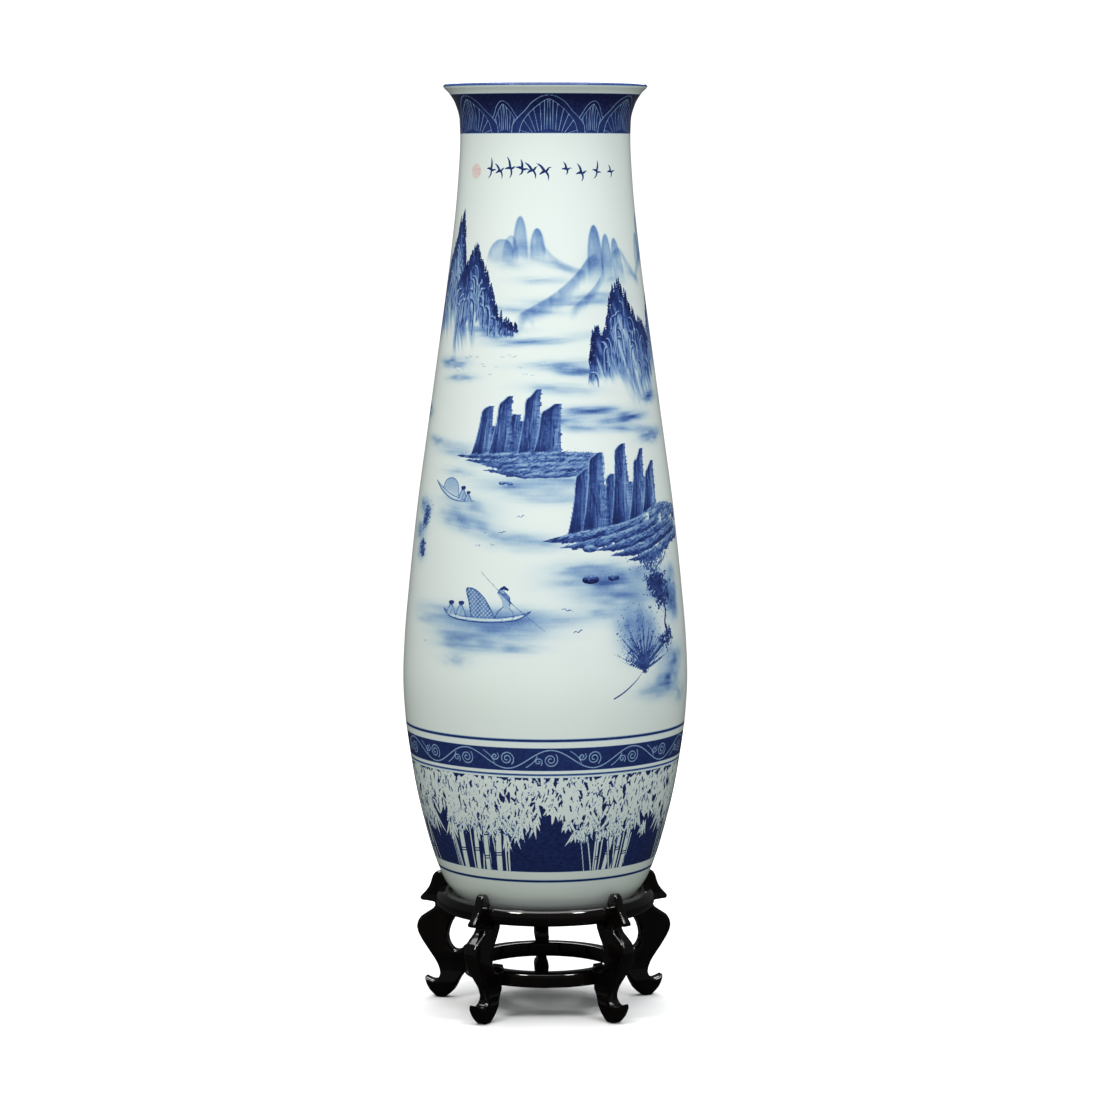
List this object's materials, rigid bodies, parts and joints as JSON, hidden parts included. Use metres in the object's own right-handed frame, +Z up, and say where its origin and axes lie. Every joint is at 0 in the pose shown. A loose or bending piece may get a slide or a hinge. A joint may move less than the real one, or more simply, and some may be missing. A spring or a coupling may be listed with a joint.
{
  "type": "floor vase on stand",
  "caption": "Tall blue-and-white porcelain floor vase with a flared mouth, standing loose in the recessed top ring of a scroll-legged black lacquered wooden stand.",
  "frame": {"origin": "on the floor, on the vase's axis, at the bottom centre of the whole object's box", "axes": "+Z up along the vase's axis; the front faces -Y, midway between two legs of the stand; one leg points to +Y"},
  "size_m": [0.491, 0.491, 1.5903],
  "materials": {
    "blue_white_glaze": "clear glossy glaze over cobalt painting",
    "black_lacquer": "high-gloss black lacquer",
    "seat_lacquer": "semi-gloss black lacquer",
    "tongue_wood": "bare planed wood",
    "dowel_wood": "bare turned wood"
  },
  "bodies": {
    "stand": {"leg_1": "black_lacquer", "leg_2": "black_lacquer", "leg_3": "black_lacquer", "leg_4": "black_lacquer", "leg_5": "black_lacquer", "top_rail_1": "black_lacquer", "top_rail_2": "black_lacquer", "top_rail_3": "black_lacquer", "top_rail_4": "black_lacquer", "top_rail_5": "black_lacquer", "rail_tongue_1": "tongue_wood", "rail_tongue_2": "tongue_wood", "rail_tongue_3": "tongue_wood", "rail_tongue_4": "tongue_wood", "rail_tongue_5": "tongue_wood", "stretcher_1": "black_lacquer", "stretcher_2": "black_lacquer", "stretcher_3": "black_lacquer", "stretcher_4": "black_lacquer", "stretcher_5": "black_lacquer", "stretcher_tongue_1": "tongue_wood", "stretcher_tongue_2": "tongue_wood", "stretcher_tongue_3": "tongue_wood", "stretcher_tongue_4": "tongue_wood", "stretcher_tongue_5": "tongue_wood", "leg_dowel_1": "dowel_wood", "leg_dowel_2": "dowel_wood", "leg_dowel_3": "dowel_wood", "leg_dowel_4": "dowel_wood", "leg_dowel_5": "dowel_wood", "stretcher_dowel_1": "dowel_wood", "stretcher_dowel_2": "dowel_wood", "stretcher_dowel_3": "dowel_wood", "stretcher_dowel_4": "dowel_wood", "stretcher_dowel_5": "dowel_wood", "seat_panel": "seat_lacquer"},
    "vase": {"vase_body": "blue_white_glaze"}
  },
  "joints": [
    {"name": "vase_lift", "type": "slide", "parent": "stand", "child": "vase", "axis": [0, 0, 1], "range_m": [0, 0.25]}
  ]
}
